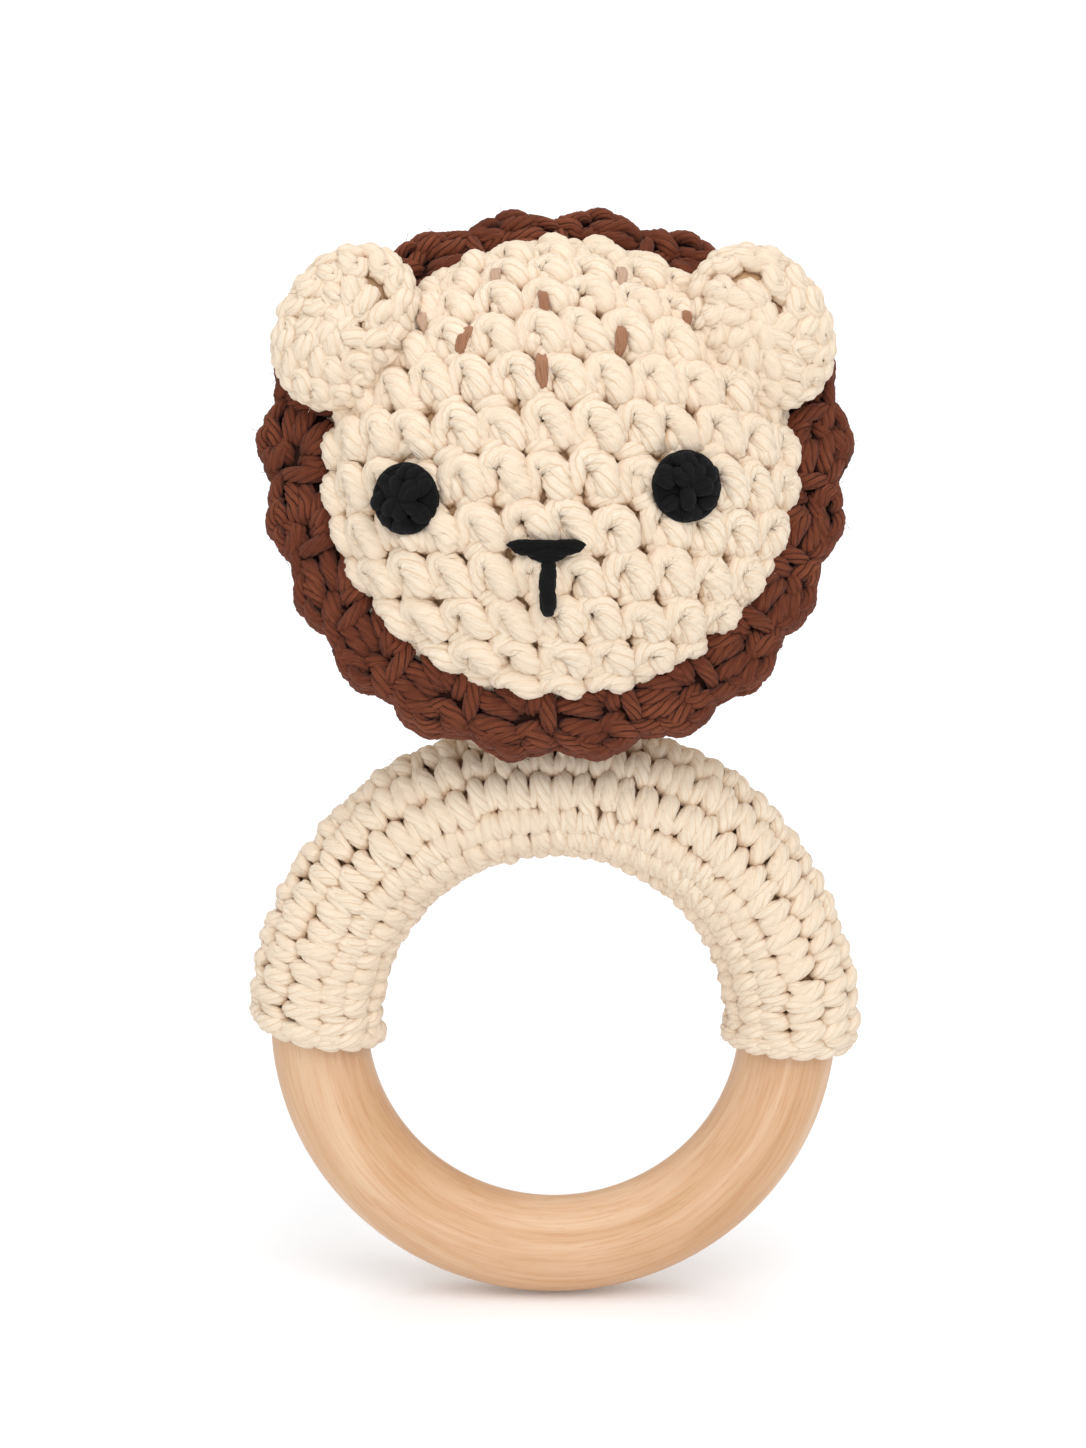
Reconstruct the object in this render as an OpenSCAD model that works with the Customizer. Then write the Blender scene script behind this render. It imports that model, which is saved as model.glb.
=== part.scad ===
// Lion-head ring rattle: a stuffed crochet head with a mane, sewn on a crochet sleeve
// that wraps the upper half of a turned beech ring. A rattle capsule sits inside the head.
// Millimetres. Origin: centre of the wooden ring. +Z points from the ring to the head,
// -Y is the way the face looks, and left and right are as seen from the front.

/* [Wooden ring] */
// Outer diameter of the beech ring
ring_od = 70; // [64:1:76]
// Diameter of the ring's round section
ring_section = 12; // [10.5:0.5:13]

/* [Sleeve] */
// Wall of the crocheted sleeve
sleeve_wall = 2.3; // [2:0.1:2.8]
// How far the sleeve reaches below the ring's centre on the left, in degrees
sleeve_end_left = 1; // [0:1:15]
// How far the sleeve reaches below the ring's centre on the right, in degrees
sleeve_end_right = 3.5; // [0:0.5:15]
// Whip stitches that close the sleeve along its inner side
seam_stitches = 24; // [16:1:26]

/* [Head] */
// Radius of the head seen from the front
head_r = 31; // [30:0.1:32]
// Half of the head's depth, front to back
head_half_depth = 24; // [22:0.5:25]
// Offset of the head's centre to the right
head_x = 0.8; // [0:0.1:1.5]
// Thickness of the head's crochet fabric
fabric = 3; // [2.6:0.1:3.4]
// How far the head is drawn down onto the sleeve
neck_sink = 2.4; // [1.4:0.1:3]
// How far the head leans back from the ring's plane, in degrees
head_lean = 13; // [10:0.5:16]

/* [Mane] */
// Number of scallops round the mane
scallops = 20; // [16:1:24]
// Radius of one scallop
scallop_r = 5.2; // [4.8:0.1:5.4]
// Half width of the mane from side to side
mane_half_w = 36.8; // [36:0.2:38]
// Half height of the mane
mane_half_h = 33.8; // [33:0.2:34.6]
// Further backward lean of the mane's plane, in degrees
mane_lean = 9; // [7:0.5:11]

/* [Ears] */
// Radius of an ear
ear_r = 7.7; // [7:0.1:8.4]
// Half of an ear's thickness
ear_half_depth = 3.8; // [3.4:0.1:4]

/* [Face] */
// Radius of an eye disc
eye_r = 4.2; // [3.6:0.1:4.6]
// Height of an eye disc above the fabric
eye_h = 1.5; // [1:0.1:2]
// Radius of the embroidery yarn
yarn_r = 0.85; // [0.7:0.05:0.95]

/* [Rattle capsule] */
// Outer radius of the capsule
capsule_r = 14; // [13:0.5:15]
// Wall of the capsule
capsule_wall = 1.5; // [1.2:0.1:1.6]
// Radius of one bead
bead_r = 2.4; // [2:0.1:2.5]

/* [Hidden] */
$fn = 96;
BEADS = 5;

cream = "antiquewhite";
brown = "saddlebrown";
black = "#16161a";

seat = 0.05;                                 // gap between sewn pieces that touch
running = 0.15;                              // gap between the ring and its sleeve
section_r = ring_section / 2;
ring_r = ring_od / 2 - section_r;            // radius of the ring's centreline
tunnel_r = section_r + running;
sleeve_r = tunnel_r + sleeve_wall;
sleeve_span = 180 + sleeve_end_left + sleeve_end_right;
hem_r = 1.1;                                 // rolled edge at each end of the sleeve
seam_r = 0.75;
seam_len = 4.4;

head_y = 6;                                  // the lean carries the head's centre backwards
neck_reach = sleeve_r + head_r - neck_sink;  // from the sleeve's centreline to the head's centre
head_z = ring_r + sqrt(neck_reach * neck_reach - head_y * head_y);
neck_turn = asin(head_y / neck_reach);
squareness = 2.3;                            // 2 is an ellipse, and more is a flatter face
profile_steps = 24;

mane_at = [-0.6, -6, 0.5];                  // the mane's centre, from the head's
mane_widths = [[-1, 1], [-0.85, 0.99], [-0.5, 0.945], [-0.1, 0.96], [0.3, 1.01], [0.6, 1.04], [1, 1.03]];
band_half_w = 4;
band_r = mane_half_h - 1.6;

// Places on the head, from its centre: [to the right, up]
eye_left_at = [-18.3, -1.8];
eye_right_at = [14.8, -0.4];
nose_at = [-1.6, -8];
nose_r = 0.6;
nose_rows = [[-0.95, 5.4], [0, 9.2], [0.95, 8.2]];      // [height, length] of each strand
mouth_at = [-1.4, -12.6];
mouth_len = 5.6;
mark_len = 3.8;
marks_at = [[-7.7, 25.2], [7.7, 25.2], [-16.3, 20.5], [-1.9, 21.9], [14.4, 20.3],
            [-11.6, 17.4], [7.7, 17.4], [-2, 13.5]];

// Ears: [to the right of the head's centre, up, turn about the upright]
ear_y = -13;
ear_left_at = [-25.8, 19.1, -10];
ear_right_at = [24.1, 19.1, 10];
ear_tall = 1.3;                              // an ear is taller than wide
ear_tilt = 32;                               // its long axis leans inwards at the top
ear_foot = 36;                               // direction of its foot, below the horizontal
ear_stitch_count = 5;
ear_stitch_r = 0.7;

capsule_in_r = capsule_r - capsule_wall;
capsule_at = [head_x, head_y, head_z];
lip_h = 1.6;                                 // overlap of the snap lip
bead_reach = capsule_in_r - bead_r - 0.3;    // the furthest that a bead's centre gets from the capsule's
bead_lane_r = 2 * bead_r + 0.5;              // the outer beads' distance from the middle one

// ---------------------------------------------------------------- shared shapes

// Half outline of a rounded, slightly squared disc of radius a and half height b
function rounded_half(a, b, n, steps) =
    [for (i = [0:steps])
        let (t = 180 * i / steps)
        [a * pow(abs(sin(t)), 2 / n), -b * sign(cos(t)) * pow(abs(cos(t)), 2 / n)]];

// Half outline of a straight stitch with round ends
function stitch_half(len, r, steps = 4) =
    concat(
        [for (i = [0:steps]) let (t = 90 * i / steps) [r * sin(t), -(len / 2 - r) - r * cos(t)]],
        [for (i = [0:steps]) let (t = 90 * i / steps) [r * cos(t), len / 2 - r + r * sin(t)]]);

// A round disc whose axis is Y
module rounded_disc(a, b, n = squareness) {
    rotate([90, 0, 0]) rotate_extrude() polygon(rounded_half(a, b, n, profile_steps));
}

// One stitch of yarn along Z
module stitch(len, r) {
    rotate_extrude($fn = 48) polygon(stitch_half(len, r));
}

// A ring of round section in the XZ plane
module hoop(r, section, from = 0, span = 360) {
    rotate([90, 0, 0]) rotate([0, 0, from]) rotate_extrude(angle = span)
        translate([r, 0]) circle(r = section);
}

// Puts children in the head's own frame: its centre is the origin and its face looks along -Y
module at_head() {
    translate([head_x, head_y, head_z]) rotate([-head_lean, 0, 0]) children();
}

module head_solid(grow = 0) {
    at_head() rounded_disc(head_r + grow, head_half_depth + grow);
}

module sleeve_solid(grow = 0) {
    hoop(ring_r, sleeve_r + grow, -sleeve_end_right, sleeve_span);
}

// Depth of the head's front surface at a place on it
function face_depth(p) = head_half_depth * pow(1 - pow(norm(p) / head_r, squareness), 1 / squareness);

// Lean of the head's surface away from straight ahead at a place on it
function face_lean(p) = atan2(
    pow(norm(p) / head_r, squareness - 1) / head_r,
    pow(face_depth(p) / head_half_depth, squareness - 1) / head_half_depth);

// Puts children on the face: their +Z points out of it and their +Y up it
module on_face(p, out = 0) {
    turn = atan2(p[1], p[0]);
    at_head() translate([p[0], -face_depth(p), p[1]])
        rotate([90, 0, 0]) rotate(a = face_lean(p), v = [-sin(turn), cos(turn), 0])
            translate([0, 0, out]) children();
}

// ---------------------------------------------------------------- ring and sleeve

module wooden_ring() {
    color("burlywood") hoop(ring_r, section_r);
}

// The rolled edge of the sleeve, round the wooden ring at one angle
module hem(at) {
    rotate([0, -at, 0]) translate([ring_r, 0, 0])
        rotate_extrude() translate([sleeve_r - hem_r + 0.2, 0]) circle(r = hem_r, $fn = 32);
}

module sleeve() {
    color(cream) difference() {
        union() {
            sleeve_solid();
            hem(-sleeve_end_right);
            hem(180 + sleeve_end_left);
        }
        hoop(ring_r, tunnel_r);
    }
}

module sleeve_seam_yarn() {
    step = sleeve_span / seam_stitches;
    color(cream) for (i = [0:seam_stitches - 1])
        rotate([0, sleeve_end_right - (i + 0.5) * step, 0])
            translate([ring_r - sleeve_r - seam_r - seat, 0, 0])
                rotate([90, 0, 0]) stitch(seam_len, seam_r);
}

// Stitches across the crease between the head and the sleeve, at the back and the front
module neck_stitches() {
    color(cream) difference() {
        for (side = [-1, 1], x = [-6, -3.6, -1.2, 1.2, 3.6, 6])
            translate([x, 0, ring_r]) rotate([-neck_turn, 0, 0])
                translate([0, side * 6.2, sleeve_r - 0.7])
                    rotate([side * 28, 0, 0]) stitch(4.8, 0.9);
        head_solid(seat);
        sleeve_solid(seat);
    }
}

// ---------------------------------------------------------------- head

module head_shell() {
    color(cream) difference() {
        head_solid();
        head_solid(-fabric);
        sleeve_solid(seat);
    }
}

module head_stuffing() {
    color("white") difference() {
        head_solid(-fabric - seat);
        translate(capsule_at) sphere(r = capsule_r + seat);
    }
}

module mane_blank() {
    at_head() translate(mane_at) rotate([-mane_lean, 0, 0]) {
        rotate([90, 0, 0]) rotate_extrude()
            translate([band_r - 8, -band_half_w]) square([8, 2 * band_half_w]);
        for (i = [0:scallops - 1])
            let (a = 360 * (i + 0.5) / scallops)
                translate([(mane_half_w - scallop_r) * cos(a) * lookup(sin(a), mane_widths), 0,
                           (mane_half_h - scallop_r) * sin(a)])
                    sphere(r = scallop_r);
    }
}

module mane() {
    color(brown) difference() {
        mane_blank();
        head_solid(seat);
        sleeve_solid(seat);
        for (at = [ear_left_at, ear_right_at])
            place_ear(at) scale([1, 1, ear_tall]) rounded_disc(ear_r + 2 * seat, ear_half_depth + 2 * seat);
    }
}

module place_ear(at) {
    at_head() translate([at[0], ear_y, at[1]])
        rotate([0, 0, at[2]]) rotate([0, -sign(at[0]) * ear_tilt, 0]) children();
}

module ear(at) {
    color(cream) difference() {
        place_ear(at) scale([1, 1, ear_tall]) rounded_disc(ear_r, ear_half_depth);
        head_solid(seat);
    }
}

// Stitches along the foot of an ear, from its front face to the head
module ear_stitches(at) {
    foot = -sign(at[0]);
    color(cream) difference() {
        at_head() translate([at[0], ear_y, at[1]]) rotate([0, 0, at[2]]) rotate([0, foot * ear_foot, 0])
            for (i = [0:ear_stitch_count - 1])
                let (k = (i - (ear_stitch_count - 1) / 2) * 2.5)
                    translate([foot * 5.9, -4.5 + k * k / 34, k])
                        rotate([0, 0, -foot * 28]) rotate([0, 90, 0]) stitch(4.2, ear_stitch_r);
        place_ear(at) scale([1, 1, ear_tall]) rounded_disc(ear_r + 3 * seat, ear_half_depth + 3 * seat);
        head_solid(seat);
    }
}

// ---------------------------------------------------------------- face

module eye(at) {
    color(black) difference() {
        on_face(at, -1) rotate_extrude() polygon([
            [0, 0], [eye_r, 0], [eye_r, 1 + 0.45 * eye_h], [0.93 * eye_r, 1 + 0.72 * eye_h],
            [0.72 * eye_r, 1 + 0.92 * eye_h], [0.4 * eye_r, 1 + eye_h], [0, 1 + eye_h]]);
        head_solid(seat);
    }
}

module nose_stitches() {
    color(black) difference() {
        for (row = nose_rows)
            on_face(nose_at, 0.35) translate([0, row[0], 0]) rotate([0, 90, 0])
                stitch(row[1], nose_r);
        head_solid(seat);
    }
}

module mouth_stitch() {
    color(black) difference() {
        on_face(mouth_at, 0.35) rotate([-90, 0, 0]) stitch(mouth_len, yarn_r);
        head_solid(seat);
    }
}

module forehead_stitches() {
    color("sienna") difference() {
        for (p = marks_at) on_face(p, 0.3) rotate([-90, 0, 0]) stitch(mark_len, yarn_r);
        head_solid(seat);
        for (at = [ear_left_at, ear_right_at])
            place_ear(at) scale([1, 1, ear_tall]) rounded_disc(ear_r + 2 * seat, ear_half_depth + 2 * seat);
    }
}

// ---------------------------------------------------------------- rattle capsule

// Half of the capsule, dished towards -Y
module half_capsule() {
    difference() {
        sphere(r = capsule_r);
        sphere(r = capsule_in_r);
        translate([-20, 0, -20]) cube(40);
    }
}

// Its tongue stands out of the front half's rim and plugs into the back half
module capsule_front_shell() {
    color("white") translate(capsule_at) {
        half_capsule();
        rotate([-90, 0, 0]) rotate_extrude()
            translate([capsule_in_r - 0.1, -0.6]) square([0.7, lip_h + 0.6]);
    }
}

module capsule_back_shell() {
    color("white") translate(capsule_at) difference() {
        mirror([0, 1, 0]) half_capsule();
        rotate([-90, 0, 0]) rotate_extrude()
            translate([0, -1]) square([capsule_in_r + 0.65, lip_h + 1.05]);
    }
}

// Bead 1 lies in the middle, and the others stand round it on the capsule's floor
module bead(i) {
    a = 45 + 90 * (i - 2);
    x = i == 1 ? 0 : bead_lane_r * cos(a);
    y = i == 1 ? 0 : bead_lane_r * sin(a);
    color("tomato") translate(capsule_at)
        translate([x, y, -sqrt(bead_reach * bead_reach - x * x - y * y)]) sphere(r = bead_r);
}

wooden_ring();
sleeve();
sleeve_seam_yarn();
neck_stitches();
head_shell();
head_stuffing();
mane();
ear(ear_left_at);  // ear_left
ear(ear_right_at);  // ear_right
ear_stitches(ear_left_at);  // ear_left_stitches
ear_stitches(ear_right_at);  // ear_right_stitches
eye(eye_left_at);  // eye_left
eye(eye_right_at);  // eye_right
nose_stitches();
mouth_stitch();
forehead_stitches();
capsule_front_shell();
capsule_back_shell();
for (i = [1:BEADS])
    bead(i);
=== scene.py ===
import math

import bpy
import numpy as np
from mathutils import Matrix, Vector


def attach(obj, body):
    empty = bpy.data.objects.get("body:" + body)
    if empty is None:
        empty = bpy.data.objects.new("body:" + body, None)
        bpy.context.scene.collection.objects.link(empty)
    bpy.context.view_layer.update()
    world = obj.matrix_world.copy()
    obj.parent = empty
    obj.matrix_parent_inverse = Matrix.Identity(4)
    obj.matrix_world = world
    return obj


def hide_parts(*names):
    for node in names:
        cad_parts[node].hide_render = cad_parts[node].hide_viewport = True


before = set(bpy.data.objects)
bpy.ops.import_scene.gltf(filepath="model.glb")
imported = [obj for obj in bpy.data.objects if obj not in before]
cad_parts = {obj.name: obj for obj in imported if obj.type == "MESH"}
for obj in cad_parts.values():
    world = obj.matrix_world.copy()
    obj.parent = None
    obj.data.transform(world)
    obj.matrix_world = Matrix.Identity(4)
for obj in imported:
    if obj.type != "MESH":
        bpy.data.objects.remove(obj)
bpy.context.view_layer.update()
rng = np.random.default_rng(11)

# ---------------------------------------------------------------- sizes, in millimetres
MM = 0.001
RING_R = 29.0            # radius of the ring's centreline
SECTION_R = 6.0          # radius of its section
SLEEVE_R = 8.45          # radius of the sleeve round the ring's section
SLEEVE_LEFT = 1.0        # degrees that the sleeve reaches below the centre, left and right
SLEEVE_RIGHT = 3.5
HEAD_R = 31.0            # head: radius from the front, half depth, squareness
HEAD_B = 24.0
HEAD_N = 2.3
HEAD_LEAN = math.radians(13)
HEAD_X = 0.8             # the head's middle, right of and behind the ring's
HEAD_BACK = 6.0
NECK_SINK = 2.4          # how far the head is drawn down onto the sleeve
NECK_REACH = SLEEVE_R + HEAD_R - NECK_SINK
HEAD_AT = np.array([HEAD_X, HEAD_BACK, RING_R + math.sqrt(NECK_REACH ** 2 - HEAD_BACK ** 2)])


# ---------------------------------------------------------------- small tools

def rot_x(a):
    c, s = math.cos(a), math.sin(a)
    return np.array([[1, 0, 0], [0, c, -s], [0, s, c]])


def rot_y(a):
    c, s = math.cos(a), math.sin(a)
    return np.array([[c, 0, s], [0, 1, 0], [-s, 0, c]])


def rot_z(a):
    c, s = math.cos(a), math.sin(a)
    return np.array([[c, -s, 0], [s, c, 0], [0, 0, 1]])


LEAN = rot_x(-HEAD_LEAN)


def from_head(p):
    """Head frame (millimetres) to the row frame (millimetres)."""
    return p @ LEAN.T + HEAD_AT


def unit(v):
    return v / np.maximum(np.linalg.norm(v, axis=-1, keepdims=True), 1e-9)


def smooth(t):
    t = np.clip(t, 0, 1)
    return t * t * (3 - 2 * t)


def spline(ctrl, n):
    """Catmull-Rom curve through ctrl (..., K, D), sampled at n places."""
    k = ctrl.shape[-2]
    t = np.linspace(0, k - 1, n)
    i = np.clip(np.floor(t).astype(int), 0, k - 2)
    f = t - i
    w = np.zeros((n, k))
    parts = (-f / 2 + f ** 2 - f ** 3 / 2, 1 - 2.5 * f ** 2 + 1.5 * f ** 3,
             f / 2 + 2 * f ** 2 - 1.5 * f ** 3, -f ** 2 / 2 + f ** 3 / 2)
    for s, c in zip((-1, 0, 1, 2), parts):
        np.add.at(w, (np.arange(n), np.clip(i + s, 0, k - 1)), c)
    return np.einsum("nk,...kd->...nd", w, ctrl)


def mesh_object(name, verts, faces, uv=None, rounded=True, rise=None):
    """A mesh object from vertices in millimetres and faces that all have the same number of corners."""
    faces = np.asarray(faces)
    corners = faces.shape[1]
    m = bpy.data.meshes.new(name)
    m.vertices.add(len(verts))
    m.vertices.foreach_set("co", (np.asarray(verts) * MM).astype(np.float32).ravel())
    m.loops.add(faces.size)
    m.loops.foreach_set("vertex_index", faces.astype(np.int32).ravel())
    m.polygons.add(len(faces))
    m.polygons.foreach_set("loop_start", np.arange(0, faces.size, corners, dtype=np.int32))
    m.polygons.foreach_set("use_smooth", np.full(len(faces), rounded))
    if uv is not None:
        layer = m.uv_layers.new(name="yarn")
        layer.data.foreach_set("uv", uv.astype(np.float32).ravel())
    if rise is not None:
        layer = m.attributes.new("rise", "FLOAT", "POINT")
        layer.data.foreach_set("value", rise.astype(np.float32).ravel())
    m.update(calc_edges=True)
    m.validate()
    o = bpy.data.objects.new(name, m)
    bpy.context.scene.collection.objects.link(o)
    return o


def grid_faces(rows, cols, closed=False):
    """Quads over a grid of points. Its columns close into loops, and its rows do where closed is set."""
    i, j = np.meshgrid(np.arange(rows if closed else rows - 1), np.arange(cols), indexing="ij")
    i2, j2 = (i + 1) % rows, (j + 1) % cols
    return np.stack([i * cols + j, i2 * cols + j, i2 * cols + j2, i * cols + j2], axis=-1).reshape(-1, 4)


class Yarn:
    """Collects strands of plied yarn and turns them into one mesh. Each ply has `fine` sides, the creases
    between plies are `groove` of the radius deep, and the plies turn once in `twist` millimetres."""

    def __init__(self, plies=6, fine=3, groove=0.13, twist=11.0):
        self.sides, self.fine, self.groove, self.twist = plies * fine, fine, groove, twist
        self.verts, self.faces, self.uvs, self.rise, self.count = [], [], [], [], 0

    def add(self, paths, normals, radii, flat=0.88, ends=True, lift=1.0):
        """Adds M strands of N rings each: paths and normals are (M, N, 3), radii (M, N) or (N,).
        lift is each path's height over the fabric, and tells the material how deep a place is, so that it can
        paint shade low in the fabric."""
        m, n, _ = paths.shape
        s = self.sides
        radii = np.broadcast_to(radii, (m, n)).copy()
        if ends:
            radii[:, [0, -1]] *= 0.08
            radii[:, [1, -2]] *= 0.8
        t = unit(np.gradient(paths, axis=1))
        b = unit(np.cross(t, normals))
        nn = np.cross(b, t)
        step = np.linalg.norm(np.diff(paths, axis=1), axis=-1)
        length = np.concatenate([np.zeros((m, 1)), np.cumsum(step, axis=1)], axis=1)
        start = rng.uniform(0, 2 * math.pi, (m, 1))
        k = np.arange(s)
        valley = 1 - np.abs(np.sin(math.pi * k / self.fine)) if self.fine > 1 else np.zeros(s)
        ang = 2 * math.pi * k / s + (start + 2 * math.pi * length / self.twist)[..., None]
        r = radii[..., None] * (1 - self.groove * valley)
        v = (paths[:, :, None, :] + (r * np.cos(ang))[..., None] * b[:, :, None, :]
             + flat * (r * np.sin(ang))[..., None] * nn[:, :, None, :])
        self.verts.append(v.reshape(-1, 3))
        # rise is the height over the fabric, from which the material paints shade low in the fabric
        out = np.sum(nn * unit(normals), axis=-1)[..., None]
        lift = np.broadcast_to(lift, (m, n))[..., None]
        self.rise.append((lift + flat * r * np.sin(ang) * out).reshape(-1))
        base = (np.arange(m)[:, None, None] * n + np.arange(n - 1)[None, :, None]) * s
        k2 = (k + 1) % s
        q = np.stack([base + k, base + k2, base + s + k2, base + s + k], axis=-1) + self.count
        self.faces.append(q.reshape(-1, 4))
        u = np.stack([k, k + 1, k + 1, k], axis=-1) / self.fine + 0.5
        u = np.broadcast_to(u, (m, n - 1, s, 4))
        offset = rng.uniform(0, 50, (m, 1))
        l0, l1 = (length + offset)[:, :-1, None], (length + offset)[:, 1:, None]
        w = np.stack(np.broadcast_arrays(l0, l0, l1, l1), axis=-1)
        w = np.broadcast_to(w, (m, n - 1, s, 4))
        self.uvs.append(np.stack([u, w], axis=-1).reshape(-1, 2))
        self.count += m * n * s

    def make(self, name, material):
        o = mesh_object(name, np.concatenate(self.verts), np.concatenate(self.faces),
                        uv=np.concatenate(self.uvs), rise=np.concatenate(self.rise))
        o.data.materials.append(material)
        return o


def plump(n, thin=0.45, fat=1.0, peak=0.58, sharp=0.75):
    """Radius along a stitch's leg: thin where it dives, fat where it shows."""
    t = np.linspace(0, 1, n)
    x = np.where(t < peak, t / peak, (1 - t) / (1 - peak))
    return thin + (fat - thin) * np.sin(np.clip(x, 0, 1) * math.pi / 2) ** sharp


# ---------------------------------------------------------------- materials

def principled(name):
    m = bpy.data.materials.new(name)
    m.use_nodes = True
    nt = m.node_tree
    b = nt.nodes["Principled BSDF"]
    return m, nt, b


def srgb(r, g, b):
    def lin(c):
        c /= 255
        return c / 12.92 if c <= 0.04045 else ((c + 0.055) / 1.055) ** 2.4
    return (lin(r), lin(g), lin(b), 1)


def node(nt, kind, **values):
    n = nt.nodes.new(kind)
    for k, v in values.items():
        if hasattr(n, k) and k not in n.inputs:
            setattr(n, k, v)
        else:
            n.inputs[k].default_value = v
    return n


def ramp(nt, stops):
    n = nt.nodes.new("ShaderNodeValToRGB")
    e = n.color_ramp.elements
    while len(e) < len(stops):
        e.new(0.5)
    for i, (pos, col) in enumerate(stops):
        e[i].position = pos
        e[i].color = col
    return n


def yarn_material(name, tones, reach=(-0.3, 1.3), sheen=0.15, fibre=0.5, crease_shading=0.5):
    """Plied yarn: painted shade in the creases between the plies, fine fibres along them, and a deeper tone
    of painted shade low in the fabric.
    reach is the heights over the fabric between which the painted shade low in the fabric fades out."""
    light, mid, crease_shade, deep = (srgb(*t) for t in tones)
    m, nt, b = principled(name)
    link = nt.links.new

    def blend(factor, a, other):
        mix = node(nt, "ShaderNodeMix", data_type="RGBA")
        mix.inputs["B"].default_value = other
        link(factor, mix.inputs["Factor"])
        link(a, mix.inputs["A"])
        return mix.outputs["Result"]

    def math_node(kind, a, by, plus=None):
        n = node(nt, "ShaderNodeMath", operation=kind)
        link(a, n.inputs[0])
        if isinstance(by, float):
            n.inputs[1].default_value = by
        else:
            link(by, n.inputs[1])
        if plus is not None:
            link(plus, n.inputs[2])
        return n.outputs[0]

    uv = node(nt, "ShaderNodeUVMap", uv_map="yarn")
    sep = nt.nodes.new("ShaderNodeSeparateXYZ")
    link(uv.outputs[0], sep.inputs[0])
    fib = node(nt, "ShaderNodeTexNoise", Scale=1.0, Detail=3.0, Roughness=0.6)
    stretch = node(nt, "ShaderNodeMapping")
    stretch.inputs["Scale"].default_value = (8.0, 0.5, 1.0)
    link(uv.outputs[0], stretch.inputs[0])
    link(stretch.outputs[0], fib.inputs["Vector"])
    tex = nt.nodes.new("ShaderNodeTexCoord")
    blotch = node(nt, "ShaderNodeTexNoise", Scale=190.0, Detail=2.0)
    link(tex.outputs["Object"], blotch.inputs["Vector"])
    tone = ramp(nt, [(0.36, mid), (0.64, light)])
    spread = math_node("MULTIPLY", blotch.outputs[0], 0.4)
    link(math_node("MULTIPLY_ADD", fib.outputs[0], 0.6, spread), tone.inputs[0])
    # distance from the nearest crease, which lies at odd half turns of u
    near = math_node("MULTIPLY", math_node("PINGPONG", sep.outputs[0], 0.5), 2.0)
    mask = ramp(nt, [(0.0, (0, 0, 0, 1)), (0.7, (0, 0, 0, 1)), (1.0, (1, 1, 1, 1))])
    link(near, mask.inputs[0])
    patchy = ramp(nt, [(0.35, (0, 0, 0, 1)), (0.6, (crease_shading, crease_shading, crease_shading, 1))])
    link(blotch.outputs[0], patchy.inputs[0])
    # painted shade: the crease tone is mixed in along the creases between the plies
    col = blend(math_node("MULTIPLY", mask.outputs[0], patchy.outputs[0]), tone.outputs[0], crease_shade)
    # painted shade low in the fabric: the deep tone is mixed in where rise is low
    rise = node(nt, "ShaderNodeAttribute", attribute_name="rise")
    deep_shade_amount = node(nt, "ShaderNodeMapRange", interpolation_type="SMOOTHSTEP")
    for i, v in enumerate((reach[0], reach[1], 1.0, 0.0)):
        deep_shade_amount.inputs[i + 1].default_value = v
    link(rise.outputs["Fac"], deep_shade_amount.inputs[0])
    link(blend(deep_shade_amount.outputs[0], col, deep), b.inputs["Base Color"])
    b.inputs["Roughness"].default_value = 0.88
    b.inputs["Specular IOR Level"].default_value = 0.2
    b.inputs["Sheen Weight"].default_value = sheen
    b.inputs["Sheen Roughness"].default_value = 0.45
    bump = node(nt, "ShaderNodeBump", Strength=fibre, Distance=0.00022)
    link(math_node("MULTIPLY_ADD", near, -0.35, fib.outputs[0]), bump.inputs["Height"])
    link(bump.outputs[0], b.inputs["Normal"])
    return m


def plain_material(name, color, rough=0.9):
    m, _, b = principled(name)
    b.inputs["Base Color"].default_value = color
    b.inputs["Roughness"].default_value = rough
    b.inputs["Specular IOR Level"].default_value = 0.2
    return m


def wood_material():
    """Beech whose grain follows the ring: the mesh's "grain" holds (along, across, across) in millimetres."""
    m, nt, b = principled("beech")
    link = nt.links.new
    place = node(nt, "ShaderNodeAttribute", attribute_name="grain")

    def layer(scale, detail=4.0, rough=0.55, distort=0.0):
        mp = node(nt, "ShaderNodeMapping")
        mp.inputs["Scale"].default_value = scale
        link(place.outputs["Vector"], mp.inputs[0])
        n = node(nt, "ShaderNodeTexNoise", Scale=1.0, Detail=detail, Roughness=rough, Distortion=distort)
        link(mp.outputs[0], n.inputs["Vector"])
        return n

    def over(a, mask, color, blend="MIX"):
        mix = node(nt, "ShaderNodeMix", data_type="RGBA", blend_type=blend)
        mix.inputs["B"].default_value = color
        link(mask.outputs[0], mix.inputs["Factor"])
        link(a, mix.inputs["A"])
        return mix.outputs["Result"]

    broad = layer((0.03, 0.22, 0.22), detail=3.0, distort=0.8)
    tone = ramp(nt, [(0.3, srgb(199, 155, 113)), (0.5, srgb(209, 169, 131)), (0.7, srgb(219, 184, 150))])
    link(broad.outputs[0], tone.inputs[0])
    grain = layer((0.12, 2.6, 2.6), detail=4.0, distort=0.3)
    gmask = ramp(nt, [(0.36, (0.55, 0.55, 0.55, 1)), (0.52, (0, 0, 0, 1))])
    link(grain.outputs[0], gmask.inputs[0])
    fleck = layer((0.35, 5.0, 5.0), detail=1.0)
    fmask = ramp(nt, [(0.27, (0.35, 0.35, 0.35, 1)), (0.34, (0, 0, 0, 1))])
    link(fleck.outputs[0], fmask.inputs[0])
    col = over(tone.outputs[0], gmask, srgb(243, 224, 208), "MULTIPLY")
    link(over(col, fmask, srgb(178, 130, 92)), b.inputs["Base Color"])
    b.inputs["Roughness"].default_value = 0.42
    b.inputs["Specular IOR Level"].default_value = 0.45
    bump = node(nt, "ShaderNodeBump", Strength=0.1, Distance=0.0001, invert=True)
    link(gmask.outputs[0], bump.inputs["Height"])
    link(bump.outputs[0], b.inputs["Normal"])
    return m
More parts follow.
